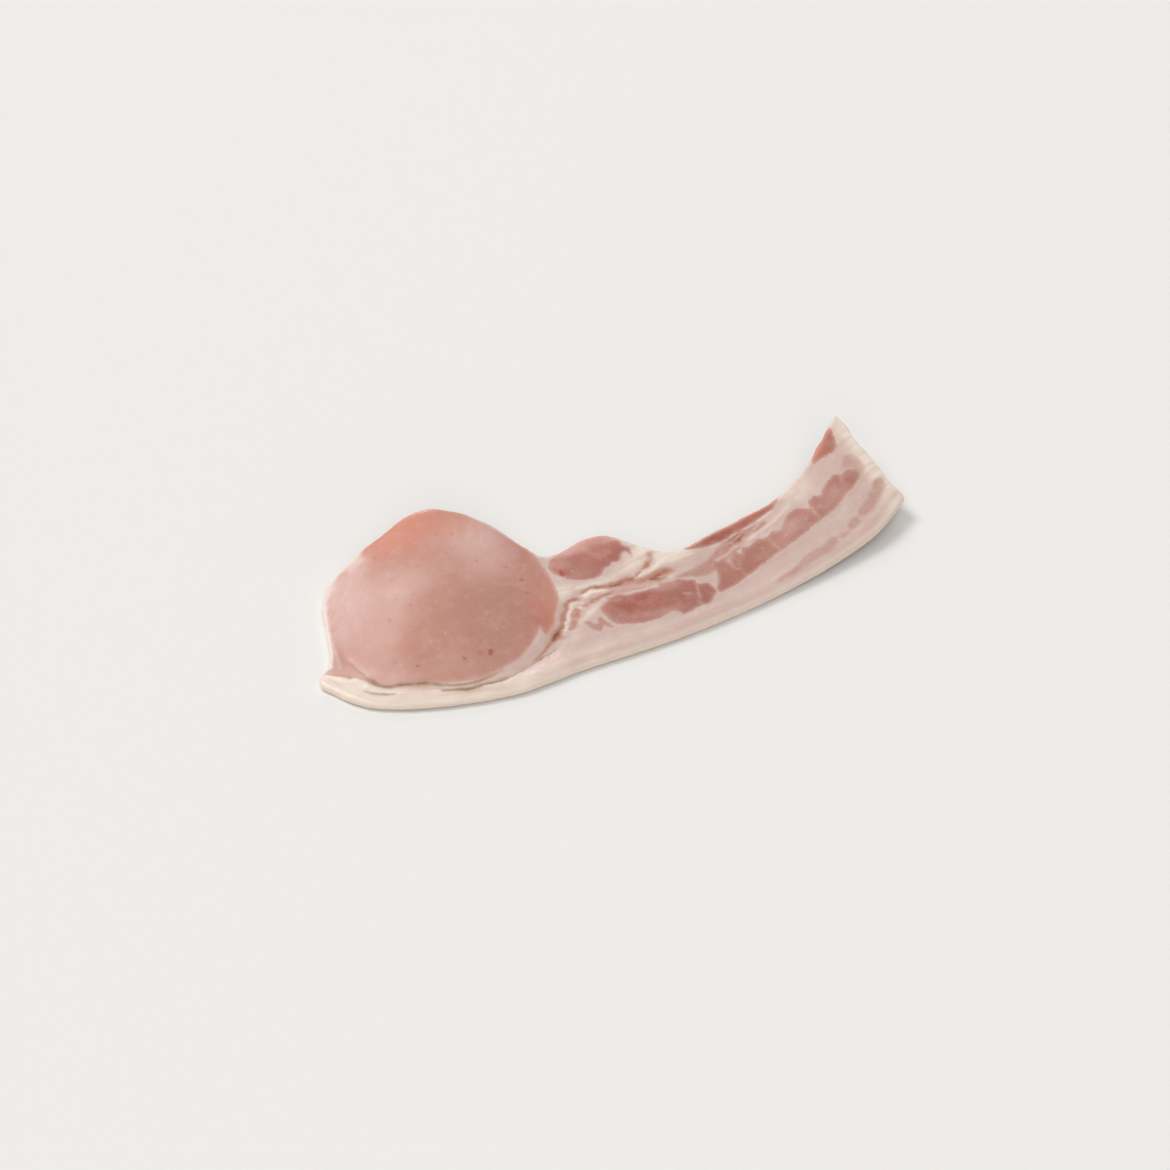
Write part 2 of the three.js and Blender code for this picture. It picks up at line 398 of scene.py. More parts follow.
        ([(-103, 38), (-98, 40.4), (-91, 42.6)], 3.4, 0.5),
        ([(-119.5, 6), (-120.4, -2), (-120.8, -10), (-121.8, -16.6)], 1.2, 0.45),
        ([(-32.7, -33.7), (-29.3, -29.1), (-27.4, -26.3), (-25.3, -22.9), (-23.3, -19.3), (-21.6, -16.6),
          (-20.1, -15.8), (-18.7, -17)], 1.2, 0.85),
        ([(-25, -29.6), (-20, -26.2), (-15, -23.2), (-11, -20.6), (-6, -17.6)], 2.2, 0.65),
        ([(-17, -14.4), (-15, -13), (-12, -12), (-8, -12.6), (-3, -14)], 1.6, 0.85),
        ([(8, -12), (12, -11.4), (16, -11), (22, -8.6), (25, -7)], 1.4, 0.8),
        ([(-18, -7.6), (-10, -7.4), (-4, -8.6), (4, -9)], 1.6, 0.8),
        ([(42, -16.4), (47, -14.8), (53, -12), (59, -10.2), (66, -8.8)], 1.3, 0.45),
        ([(60, -3.4), (66, -2.6), (72, -0.8), (78, 1)], 0.8, 0.5),
        ([(66, -9), (73, -6), (80, -2.4), (86, 1.6)], 1.1, 0.4),
    ],
    "ridgeHeight": 0.15,
    # the pale skin round the end of the eye, with a painted highlight along it and painted sheen at the
    # corner, where it is widest; and its width at each point
    "membrane": [(-90, 49), (-98, 44.6), (-106, 39.6), (-112.6, 33.2), (-116.4, 24), (-119.7, 9),
                 (-121.8, -2), (-124.2, -9.8), (-126.6, -14)],
    "membraneWidth": (0.8, 4.6, 1.8, 4.6, 1.7, 1.4, 1.4, 1.4, 1.4),
    # pits: place, radius and strength
    "pits": [
        (-88.4, 38.6, 1.3, 0.5), (-88.4, 10.8, 1.1, 0.4), (-94.8, 0.7, 1.1, 0.5), (-50, 19.5, 1.2, 0.5),
        (-39.4, 13.1, 1.0, 0.6), (-34, 11.9, 1.1, 0.6), (-36, 4.4, 1.3, 0.7), (-36.6, -4, 1.1, 0.6),
        (-64.8, -25, 1.1, 0.55), (-62.6, -32, 1.2, 1.1), (-63.4, -33, 1.1, 0.95),
        (-67.2, -31.3, 1.6, 0.5), (-73.9, -31.8, 1.3, 0.7), (-73.4, -34, 1.0, 0.55), (-92.8, -28.4, 1.1, 0.7),
        (-56, -25.3, 1.0, 0.4), (-45.5, -25.1, 1.3, 0.35),
        (-46.2, -20.9, 1.1, 0.4), (-18.4, 4.3, 0.8, 1.3), (-18.3, 3, 1.0, 1.6),
        (-18.2, 1.8, 0.8, 1.3), (11.9, 0.1, 0.9, 0.5), (-32, 8.6, 1.3, 0.4), (-46, 6, 1.6, 0.3),
        (-57, 8.4, 1.4, 0.25), (-47, -14, 1.2, 0.3),
    ],
    "pitDepth": 0.09,
    # the rind edge, from which the layers of the belly are measured, and the raised rim beside it
    "rindLine": [(-131.6, -20.8), (-120.1, -36.9), (-105.8, -45.4), (-82.4, -52.4), (-57.7, -55.8),
                 (-32, -53.3), (8.7, -51.5), (44.7, -46.9), (80.5, -39.3), (108.4, -30.4), (131, -16)],
    "rimPlace": 4.5,  # from the rind
    "rimWidth": 4.5,
    "rimHeight": 0.45,
    "rimFade": (0, 3),  # from the border of the lean into the fat
    # the crest over the eye: the lean is paler to its left, a painted sheen on the slope that faces the light
    "crestLine": [(-101, -50), (-97.7, -29.6), (-94.1, -18.1), (-88.7, -5.6), (-81.8, 3.1), (-72.9, 12.9),
                  (-63.7, 26.4), (-56.1, 40), (-49.4, 58)],
    "crestFade": (-9, 12),  # across it, from right to left
    "crestSheenStrength": 0.8,
    "crestTop": (10, 42),  # stretch of Y over which it fades
    "crestBorder": (-1, 2),  # from outside the eye's border to inside
    # soft patches of another tone, some of them painted sheen, painted light and painted shade as told below:
    # place, reach, turn in degrees and strength, which takes away below 0
    "patches": {
        # paler lean; those on the eye's upper right and at its upper left corner are painted sheen where it
        # faces the light
        "paleAndSheen": [((-45, 31), (13, 19), 15, 0.82), ((-60, 40), (12, 12), 0, 0.35),
                 ((-40, 40), (6, 7), 0, 0.25), ((70, -19), (14, 5), 22, 0.3), ((-12, 6), (6, 5), 0, 0.1),
                 ((-6, -30), (6, 6), 0, 0.3), ((11, -36), (13, 3), -6, 0.45), ((16, -24), (6, 3), 0, 0.35),
                 ((-108, 30), (12, 14), 30, 0.6), ((-98, 40), (9, 7), 30, 1.0),
                 ((-120, -11), (7, 10), 0, -0.5), ((-55, 13), (15, 11), 0, 0.32),
                 ((-96, 10), (9, 11), 0, -0.2), ((-104, -10), (8, 10), 0, -0.15),
                 ((79, -12), (7, 5), 20, 0.4), ((-105, -24), (15, 12), 0, -0.2),
                 ((-84, -33), (24, 9), -6, 0.3), ((90, -7), (9, 6), 25, 0.3),
                 ((105, -4), (9, 7), 35, 0.4), ((-10, -1), (10, 4), 0, 0.3), ((-17, 8), (5, 6), 0, 0.1)],
        "salmon": [((-72, 48), (24, 15), -4, 1.0), ((-86, 42), (9, 10), 0, 0.15), ((-47, 40), (7, 8), 0, 0.2),
                   ((-105, 36), (5, 4), 30, 0.4), ((-34, -17), (8, 13), -10, 0.6),
                   ((66, 4), (20, 4), 12, 0.7), ((106, 22), (8, 7), 40, 0.7), ((-9, -24), (5, 5), 0, 0.6),
                   ((-4, 17), (14, 4), 12, 0.45), ((-4, 4), (8, 5), 0, 0.2), ((-90, -14), (5, 15), 8, 0.18)],
        "browned": [((-50, -15), (26, 25), 0, 0.9), ((-96, -28), (22, 12), -6, 0.45),
                    ((-65, -36), (13, 7), 4, 0.5)],
        "ruddy": [((1, -24), (12, 6), -6, 1.0), ((9, 7), (5, 5), 0, 0.15), ((3, 3), (8, 5), 20, 0.3),
                  ((4, 12), (9, 7), 0, 0.4), ((8, -30), (14, 6), -8, 0.35), ((50, -3), (9, 4), 8, 0.8),
                  ((66, 1), (12, 3), 14, 0.55), ((110, 20), (5, 4), 30, 0.35),
                  ((-37, -19), (9, 12), -10, 0.4), ((-29, 16), (4, 15), 0, 0.3)],
        # creamier fat; at (29, -5) and (23, -9) on the neck it is painted light on the slope that faces the
        # light, and the negative patch at (96, -32) is painted shade where the tail's front edge turns from
        # the light
        "creamAndPaintedLight": [((-22, -8), (7, 10), -20, 0.4), ((29, -5), (9, 4), -8, 1.0), ((23, -9), (7, 3), 20, 0.4),
                  ((-125, -26), (16, 14), 0, 0.7), ((125, -19), (9, 7), 30, 0.5),
                  ((126, 24), (8, 18), 0, 1.0), ((-8, -7), (14, 4), 0, 0.4),
                  ((128, 0), (7, 14), 0, 0.9), ((92, 9), (12, 6), 26, 0.5), ((60, -7), (12, 4), 20, 0.2),
                  ((12, -3), (8, 5), 0, 0.5), ((17, 2), (4, 3), 0, 0.6), ((86, 4), (7, 4), 20, 0.3),
                  ((-30, -36), (14, 4), 35, 0.2),
                  ((96, -32), (14, 4), 20, -0.35), ((36, -23), (6, 5), 0, -0.5),
                  ((109, 10), (7, 6), 40, -0.4), ((70, -4), (8, 4), 20, -0.3)],
    },
    "rimCream": (-110, 30),  # stretch over which the rim goes from cream to pink
    "rimCreamWidth": (6, 15),  # and the distance from the rind over which it does
    "rimCreamStrength": 0.85,
    # lumps of the whole face, of the fat beside the seams and of the cut edge: size and height
    "undulation": [(22.0, 0.25), (8.0, 0.09), (3.2, 0.035)],
    "crumple": [(5.0, 0.60), (2.2, 0.22)],
    "crumpleReach": 5.0,
    "crumpleGain": 2.0,  # for each mm of a seam's depth
    "crumpleFade": (-0.5, 1.5),  # from the lean into the fat
    "crumpleCrease": (0.5, 2.0),  # height of the soft folds, and how deep the creases between them are
    "edgeRagged": [(9.0, 0.55), (3.5, 0.35), (1.6, 0.12)],
    "edgeReach": 4.0,
    "rindRagged": 0.35,  # share of those heights along the rind
    "rindReach": (5, 25),  # from the rind to where the edge is fully ragged
    # painted highlight: the rim of the cut edge, where it catches the light, is painted paler
    "edgeHighlightBand": (1.2, 0.9),  # the lit rim of the cut edge: middle of the band from the edge, and half width
}

# what the material reads from the mesh
faceLayers = ("lean", "tintAndShade", "redness", "seam", "shade", "whiteAndSheen", "vein", "pit", "paleAndSheen", "salmon", "browned",
              "ruddy", "creamAndPaintedLight", "edgeHighlight", "along", "across")


def smoothLine(points, closed=False):
    # short steps along a curve through the points
    pts = [np.array(p, float) for p in points]
    count = len(pts)
    out = []
    for i in range(count if closed else count - 1):
        b, c = pts[i], pts[(i + 1) % count]
        a = pts[i - 1] if closed or i else 2 * b - c
        d = pts[(i + 2) % count] if closed or i + 2 < count else 2 * c - b
        steps = max(2, int(np.linalg.norm(c - b) / rasher["lineStep"]))
        for t in np.arange(steps) / steps:
            out.append(0.5 * (2 * b + (c - a) * t + (2 * a - 5 * b + 4 * c - d) * t ** 2
                              + (3 * b - a - 3 * c + d) * t ** 3))
    out.append(pts[0] if closed else pts[-1])
    return np.array(out)


def measureLine(places, line):
    # distance to the line, side of it (left is positive) and length along it, in chunks to save memory
    starts, steps = line[:-1], np.diff(line, axis=0)
    lengths = np.linalg.norm(steps, axis=1)
    runs = np.concatenate([[0], np.cumsum(lengths)])
    gap, side, along = (np.zeros(len(places)) for _ in range(3))
    chunk = 8000
    for first in range(0, len(places), chunk):
        part = places[first:first + chunk, None, :] - starts
        share = np.clip((part * steps).sum(2) / lengths ** 2, 0, 1)
        squared = ((part - share[..., None] * steps) ** 2).sum(2)
        best = squared.argmin(1)
        row = np.arange(len(best))
        gap[first:first + chunk] = np.sqrt(squared[row, best])
        cross = steps[best, 0] * part[row, best, 1] - steps[best, 1] * part[row, best, 0]
        side[first:first + chunk] = np.sign(cross)
        along[first:first + chunk] = runs[best] + share[row, best] * lengths[best]
    return gap, side, along


def near(places, line, margin):
    # which places are in the line's box, with a margin round it
    return ((places > line.min(0) - margin) & (places < line.max(0) + margin)).all(1)


def loopDepth(places, points):
    # how deep inside the loop, and negative outside it
    loop = smoothLine(points, closed=True)
    depth = np.full(len(places), -rasher["far"])
    close = near(places, loop, rasher["far"])
    spots = places[close]
    gap = measureLine(spots, loop)[0]
    inside = np.zeros(len(spots), bool)
    for a, b in zip(loop[:-1], loop[1:]):
        spans = (a[1] > spots[:, 1]) != (b[1] > spots[:, 1])
        rise = b[1] - a[1] if b[1] != a[1] else 1.0
        inside ^= spans & (spots[:, 0] < a[0] + (b[0] - a[0]) * (spots[:, 1] - a[1]) / rise)
    depth[close] = np.where(inside, gap, -gap)
    return depth


def valueAlong(along, points, values):
    # what the values at the points of a line come to along it
    legs = np.linalg.norm(np.diff(np.array(points, float), axis=0), axis=1)
    return np.interp(along, np.concatenate([[0], np.cumsum(legs)]), np.broadcast_to(values, len(points)))


def stripDepth(places, strip):
    # how deep inside a strip, and negative outside it
    line = smoothLine(strip["line"])
    depth = np.full(len(places), -rasher["far"])
    close = near(places, line, rasher["far"])
    gap, _, along = measureLine(places[close], line)
    half = valueAlong(along, strip["line"], strip["halfWidths"])
    for middle in strip["gaps"]:
        half *= 1 - rasher["gapShare"] * np.exp(-((along - middle) / rasher["gapLength"]) ** 2)
    depth[close] = half - gap
    return depth


def lineBlur(places, points, widths):
    # 1 on the line, fading to its sides over the widths that its points have, and at its ends
    line = smoothLine(points)
    blur, along = np.zeros(len(places)), np.zeros(len(places))
    close = near(places, line, rasher["far"])
    gap, _, run = measureLine(places[close], line)
    ends = softStep(run, 0, rasher["seamEnd"]) * softStep(run.max() - run, 0, rasher["seamEnd"])
    blur[close] = ends * np.exp(-(gap / valueAlong(run, points, widths)) ** 2)
    along[close] = run
    return blur, along


def softStep(values, low, high):
    # 0 up to low, 1 from high on and smooth between
    t = np.clip((values - low) / (high - low), 0, 1)
    return t * t * (3 - 2 * t)


def mottle(places, size, level):
    # smooth noise between -1 and 1
    return np.array([noise.noise(Vector((x / size, y / size, level))) for x, y in places])


def lumps(places, sizes, level):
    return sum(height * mottle(places, size, level + i) for i, (size, height) in enumerate(sizes))


def spot(places, centre, reach, turn=0):
    # 1 at the centre, fading over its reach along and across
    offset = places - np.array(centre, float)
    c, s = math.cos(math.radians(turn)), math.sin(math.radians(turn))
    u = (offset[:, 0] * c + offset[:, 1] * s) / reach[0]
    v = (offset[:, 1] * c - offset[:, 0] * s) / reach[1]
    return np.exp(-(u ** 2 + v ** 2))


def layLean(face, places, loose):
    # muscles, the fat between their lobes, the lean that only tints the fat and the painted shade under the
    # eye
    depths = {name: loopDepth(places, muscle["loop"]) for name, muscle in rasher["muscles"].items()}
    lean = np.max(list(depths.values()), axis=0)
    for points in rasher["septa"]:
        line = smoothLine(points)
        close = near(loose, line, rasher["far"])
        lean[close] = np.minimum(lean[close], measureLine(loose[close], line)[0] - rasher["septumHalfWidth"])
    face["lean"] = np.clip(lean, -rasher["far"], rasher["far"])

    tiny = 1e-6  # so that the weight is never 0
    redness, weight = np.zeros(len(places)), np.full(len(places), tiny)
    for name, muscle in rasher["muscles"].items():
        inside = softStep(depths[name], *rasher["rednessFade"])
        redness += inside * muscle["redness"]
        weight += inside
    face["redness"] = redness / weight
    veins = [lineBlur(loose, points, rasher["veinWidth"])[0] for points in rasher["veins"]]
    flecks = [spot(places, centre, (rasher["fleckSize"], rasher["fleckSize"])) for centre in rasher["flecks"]]
    face["vein"] = np.max(veins + flecks, axis=0)

    # lean that tints the fat, and the painted shade in the fold under the eye
    face["tintAndShade"] = np.zeros(len(places))
    for spec in rasher["tints"].values():
        depth = loopDepth(loose, spec["loop"]) if "loop" in spec else stripDepth(loose, spec)
        fade = spec.get("fade", rasher["tintFade"])
        face["tintAndShade"] = np.maximum(face["tintAndShade"], spec["strength"] * softStep(depth, *fade))

    # painted sheen: how far the eye's lean lies left of the crest, on the slope that faces the light
    gap, side, _ = measureLine(places, smoothLine(rasher["crestLine"]))
    inEye = softStep(depths["loinEye"], *rasher["crestBorder"])
    inEye *= 1 - softStep(places[:, 1], *rasher["crestTop"])
    face["leftOfCrest"] = inEye * softStep(gap * side, *rasher["crestFade"])


def layFolds(face, places, loose):
    # brown seams in hollows, partly a brown deposit and partly painted shade; crumpled fat beside them; white
    # folds that stand up, with painted sheen and highlight at the eye's corner and end
    face["seam"], face["shade"], crumpled = (np.zeros(len(places)) for _ in range(3))
    levels = rasher["noiseLevels"]
    size, middle, swing = rasher["seamPatches"]
    patchy = np.clip(middle + swing * mottle(places, size, levels["patches"]), rasher["seamLeast"], 1)
    haze, hazeStrength = rasher["seamHaze"]
    for spec in rasher["seams"].values():
        line = [point[:2] for point in spec["line"]]
        darks, widths = np.array(spec["line"])[:, 2:].T
        brown, along = lineBlur(loose, line, widths)
        around = hazeStrength * lineBlur(loose, line, haze * widths)[0]
        dark = np.maximum(brown * patchy, around) * valueAlong(along, line, darks)
        layer = spec.get("layer", "seam")
        face[layer] = np.maximum(face[layer], dark)
        face["relief"] -= spec["depth"] * lineBlur(loose, line, rasher["seamSlope"] * widths)[0]
        beside = lineBlur(loose, line, rasher["crumpleReach"])[0]
        crumpled = np.maximum(crumpled, beside * spec["depth"])
    crumpled *= rasher["crumpleGain"] * softStep(-face["lean"], *rasher["crumpleFade"])
    top, crease = rasher["crumpleCrease"]
    for i, (size, height) in enumerate(rasher["crumple"]):
        folds = top - crease * np.abs(mottle(loose, size, levels["crumple"] + i))
        face["relief"] += crumpled * height * folds

    # pale folds of fat, and at the eye's corner and end a painted sheen and highlight
    ridges = [strength * lineBlur(loose, points, width)[0] for points, width, strength in rasher["ridges"]]
    whiteAndSheen = np.max(ridges, axis=0) * np.sqrt(patchy)
    face["relief"] += rasher["ridgeHeight"] * whiteAndSheen
    # the pale skin round the eye's end, partly painted highlight and sheen
    membrane = lineBlur(loose, rasher["membrane"], rasher["membraneWidth"])[0]
    face["whiteAndSheen"] = np.maximum(whiteAndSheen, membrane)

    face["pit"] = np.zeros(len(places))
    for x, y, radius, strength in rasher["pits"]:
        hollow = strength * spot(loose, (x, y), (radius, radius))
        face["pit"] = np.maximum(face["pit"], hollow)
        face["relief"] -= rasher["pitDepth"] * hollow


def layTones(face, places):
    # the layers along the rind, and patches of paler, warmer and redder lean and creamier fat, some of the
    # paler and creamier ones painted sheen, light and shade
    for name, spots in rasher["patches"].items():
        face[name] = sum(strength * spot(places, *place) for *place, strength in spots)
    # the painted sheen left of the crest makes the lean paler
    face["paleAndSheen"] += rasher["crestSheenStrength"] * face["leftOfCrest"]
    gap, _, along = measureLine(places, smoothLine(rasher["rindLine"]))
    face["across"], face["along"] = gap, along
    fade = 1 - softStep(places[:, 0], *rasher["rimCream"])
    fade *= 1 - softStep(gap, *rasher["rimCreamWidth"])
    face["creamAndPaintedLight"] += rasher["rimCreamStrength"] * fade
    for name in rasher["patches"]:
        face[name] = np.clip(face[name], 0, 1)
    rim = np.exp(-((gap - rasher["rimPlace"]) / rasher["rimWidth"]) ** 2)
    face["relief"] += rasher["rimHeight"] * rim * softStep(-face["lean"], *rasher["rimFade"])
    face["relief"] += lumps(places, rasher["undulation"], rasher["noiseLevels"]["undulation"])


def cutFace(places):
    # everything that the cut face shows at each place, and its relief
    face = {"relief": np.zeros(len(places))}
    wiggles = [lumps(places, rasher["seamWiggle"], level) for level in rasher["noiseLevels"]["wiggles"]]
    loose = places + np.array(wiggles).T
    layLean(face, places, loose)
    layFolds(face, places, loose)
    layTones(face, places)
    return face


def copySlice():
    # the CAD slice as one smooth mesh of quads
    bpy.ops.object.select_all(action="DESELECT")
    cad = frame["nodes"]["rasher"]
    cad.select_set(True)
    bpy.context.view_layer.objects.active = cad
    bpy.ops.object.duplicate()
    piece = bpy.context.active_object
    piece.name = piece.data.name = rasher["name"]
    del piece["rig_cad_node"]
    piece.data.materials.clear()
    turn = math.radians(rasher["quadAngle"])
    bpy.ops.object.mode_set(mode="EDIT")
    bpy.ops.mesh.select_all(action="SELECT")
    bpy.ops.mesh.customdata_custom_splitnormals_clear()
    bpy.ops.mesh.remove_doubles(threshold=rasher["mergeGap"] * mm)
    bpy.ops.mesh.tris_convert_to_quads(face_threshold=turn, shape_threshold=turn)
    bpy.ops.object.mode_set(mode="OBJECT")
    rounding = piece.modifiers.new("rounding", "SUBSURF")
    rounding.levels = rounding.render_levels = rasher["smoothLevels"]
    bpy.ops.object.modifier_apply(modifier=rounding.name)
    return piece


def readArray(items, name):
    # one row for each item
    values = np.zeros(len(items) * 3)
    items.foreach_get(name, values)
    return values.reshape(-1, 3)


def refineDetail(piece):
    # finer faces where a seam, a pit or the border of the lean runs over the upper side
    faces = piece.data.polygons
    centres = readArray(faces, "center")[:, :2] / mm
    upward = readArray(faces, "normal")[:, 2] > rasher["upperFace"]
    depths = [loopDepth(centres, muscle["loop"]) for muscle in rasher["muscles"].values()]
    wanted = np.abs(np.max(depths, axis=0)) < rasher["refineLean"]
    for spec in rasher["seams"].values():
        line = smoothLine([point[:2] for point in spec["line"]])
        close = near(centres, line, rasher["far"])
        wanted[close] |= measureLine(centres[close], line)[0] < rasher["refineSeam"]
    for x, y, *_ in rasher["pits"]:
        wanted |= np.hypot(centres[:, 0] - x, centres[:, 1] - y) < rasher["refinePit"]
    bpy.context.tool_settings.mesh_select_mode = (False, False, True)
    bpy.ops.object.mode_set(mode="EDIT")
    bpy.ops.mesh.select_all(action="DESELECT")
    bpy.ops.object.mode_set(mode="OBJECT")
    faces.foreach_set("select", wanted & upward)
    bpy.ops.object.mode_set(mode="EDIT")
    bpy.ops.mesh.subdivide(number_cuts=1)
    bpy.ops.object.mode_set(mode="OBJECT")


def shapeSlice(piece):
    # gives the slice its relief and its ragged edge, and the mesh what the material reads
    co = readArray(piece.data.vertices, "co") / mm
    normals = readArray(piece.data.vertices, "normal")
    plan = co[:, :2].copy()

    # how far each point is from the cut edge
    wall = np.abs(normals[:, 2]) < rasher["edgeLimit"]
    tree = kdtree.KDTree(int(wall.sum()))
    for i, (x, y) in enumerate(plan[wall]):
        tree.insert((x, y, 0), i)
    tree.balance()
    edge = np.array([tree.find((x, y, 0))[2] for x, y in plan])

    face = cutFace(plan)
    upper = softStep(normals[:, 2], *rasher["upperFade"])
    # painted highlight along the rim of the cut edge that catches the light
    middle, half = rasher["edgeHighlightBand"]
    face["edgeHighlight"] = upper * np.exp(-((edge - middle) / half) ** 2)

    # the cut edge runs a little ragged, less so along the rind
    outward = normals[:, :2] * (1 - softStep(edge, 0, rasher["edgeReach"]))[:, None]
    ragged = lumps(plan, rasher["edgeRagged"], rasher["noiseLevels"]["edge"])
    least = rasher["rindRagged"]
    ragged *= least + (1 - least) * softStep(face["across"], *rasher["rindReach"])
    co[:, :2] += outward * ragged[:, None]
    co[:, 2] = np.maximum(co[:, 2] + upper * face["relief"], 0.0)
    piece.data.vertices.foreach_set("co", (co * mm).ravel())
    piece.data.update()

    for name in faceLayers:
        layer = piece.data.attributes.new(name, "FLOAT", "POINT")
        layer.data.foreach_set("value", face[name].astype(np.float32))
    bpy.ops.object.shade_smooth()


piece = copySlice()
print("slice copied and rounded:", len(piece.data.polygons), "faces")
refineDetail(piece)
shapeSlice(piece)
piece.data.calc_loop_triangles()
print("slice shaped:", len(piece.data.loop_triangles), "triangles")

# The finish: colours, the sizes of its patterns in mm and how it takes the light.
pork = {
    "leanMid": "#CA9484",
    "leanPale": "#E6C2BB",
    "leanDeep": "#A5695B",
    "leanRed": "#B96E64",
    "salmon": "#D88B72",
    "browned": "#B38477",
    "ruddy": "#9C4632",
    # colour of the painted highlight on the lean's lit rim
    "leanEdgeHighlight": "#E8AC91",
    "vein": "#EACFC6",
    "pitRed": "#A84B36",
    "fatPink": "#CEB4AB",
    "fatBlush": "#D0A598",
    "fatCream": "#EBDCCE",
    "fatWhite": "#F2E8DF",
    "tintPink": "#B98879",
    "seamTan": "#BC8772",
    "seamBrown": "#90523B",
    "shadeTan": "#B6957F",
    "shadeOlive": "#876750",
    "rindCream": "#EAD8C8",
    # noise: size of its lumps and how many finer ones it has
    "grains": {"border": (2.4, 4), "fine": (0.9, 2), "broad": (11, 3), "cloud": (5, 3), "waxy": (2.4, 3)},
    # what noise shifts a value by: which noise, the range of it and what its ends come to
    "swings": {
        "tone": ("broad", (0.3, 0.7), (-0.05, 0.05)),  # added to the redness of the lean
        "creamAndPaintedLight": ("broad", (0.3, 0.7), (-0.2, 0.25)),  # added to the cream of the fat
        "blotch": ("border", (0.3, 0.7), (0.85, 1.1)),  # times the lean that tints the fat
        "dust": ("fine", (0.25, 0.6), (0.85, 1.05)),  # times the seams
        "wet": ("broad", (0.3, 0.7), (-0.06, 0.06)),  # added to the roughness
    },
    "noiseMiddle": 0.5,
    "poreGap": 8.0,  # between pores, and then between pale specks: both are too many to place one by one
    "speckGap": 6.0,
    "fibreSize": (1.7, 7.0, 6.0),  # across the fibres, along them and down through the slice
    "fibreTurn": -38,  # degrees from Y
    "layerSize": (30.0, 2.6),  # along and across the rind
    "streakDetail": 2.0,  # how many finer streaks the fibres and the layers have
    "smoothBorder": (0.42, 0.9),  # redness up to which the lean's border is smooth, and how far it strays
    "raggedBorder": (0.54, 2.2),  # and from which it is ragged
    "borderFade": (-0.9, 0.9),  # from fat to lean
    "rindFade": (0.3, 1.4),  # from the rind edge inward
    # colours laid over the first of the lean, of the fat and of both together: what each follows, the range
    # of that, the colour's share at both ends, and the colour
    "leanLayers": [
        ("tone", (0.30, 0.65), (0, 1), "leanDeep"),
        ("tone", (0.65, 0.95), (0, 1), "leanRed"),
        ("browned", (0, 1), (0, 0.75), "browned"),
        # paler lean, partly painted sheen
        ("paleAndSheen", (0, 1), (0, 0.66), "leanPale"),
        # painted highlight on the lit rim of the cut edge
        ("edgeHighlight", (0, 1), (0, 0.4), "leanEdgeHighlight"),
        ("salmon", (0, 1), (0, 0.75), "salmon"),
        ("ruddy", (0, 1), (0, 0.75), "ruddy"),
        ("broad", (0.45, 0.70), (0, 0.14), "salmon"),
        ("fine", (0.35, 0.7), (0, 0.05), "vein"),
        ("cloud", (0.45, 0.75), (0, 0.14), "leanPale"),
        ("lean", (0.2, 2.2), (0.16, 0), "vein"),
        ("paleFibres", (0.35, 0.70), (0, 0.32), "vein"),
        ("pores", (0.05, 0.20), (0.16, 0), "pitRed"),
        ("specks", (0.04, 0.12), (0.28, 0), "vein"),
        ("vein", (0, 1), (0, 0.25), "vein"),
        # pale folds and skin, partly painted highlight and sheen
        ("whiteAndSheen", (0, 1), (0, 0.8), "fatWhite"),
    ],
    "fatLayers": [
        # creamier fat, with painted light on the neck and painted shade at the tail's front
        ("creamy", (0, 1), (0, 1), "fatCream"),
        ("streaks", (0.46, 0.74), (0, 0.45), "fatBlush"),
        ("cloud", (0.50, 0.72), (0, 0.10), "fatWhite"),
        ("blotchy", (0, 1), (0, 1), "tintPink"),
        # pale folds and skin, partly painted highlight and sheen
        ("whiteAndSheen", (0, 1), (0, 0.7), "fatWhite"),
        # painted highlight on the lit rim of the cut edge
        ("edgeHighlight", (0, 1), (0, 0.25), "fatWhite"),
        ("rind", (0, 1), (0, 0.75), "rindCream"),
    ],
    "foldLayers": [
        ("olive", (0, 0.45), (0, 0.9), "shadeTan"),
        ("olive", (0.40, 1.05), (0, 1), "shadeOlive"),
        ("brown", (0, 0.45), (0, 0.9), "seamTan"),
        ("brown", (0.40, 1.05), (0, 1), "seamBrown"),
        ("pit", (0.1, 1.0), (0, 0.8), "pitRed"),
    ],
    # heights of the fine relief
    "grainRelief": 0.08,
    "waxyRelief": 0.30,
    "layerRelief": 0.10,
    "roughFat": 0.44,
    "roughLean": 0.38,
    "ior": 1.4,
    "glow": 0.35,  # share of the light that goes in under the surface
    "glowDepth": 2.0,
    "glowColour": (1.0, 0.45, 0.3),  # share of that depth that red, green and blue light reach
    "moisture": 0.25,  # weight of the wet film on it
    "moistureRoughness": 0.2,
}


def layColours(tree, colour, parts, layers):
    # a colour mix has its colours on inputs 6 and 7 and its result on output 2
    for part, (low, high), (shareLow, shareHigh), shade in layers:
        share = addNode(tree, "MapRange", {"interpolation_type": "SMOOTHSTEP"}, {
            "Value": parts[part], "From Min": low, "From Max": high,
            "To Min": shareLow, "To Max": shareHigh})
        colour = addNode(tree, "Mix", {"data_type": "RGBA"}, {0: share, 6: colour, 7: pork[shade]}, 2)
    return colour


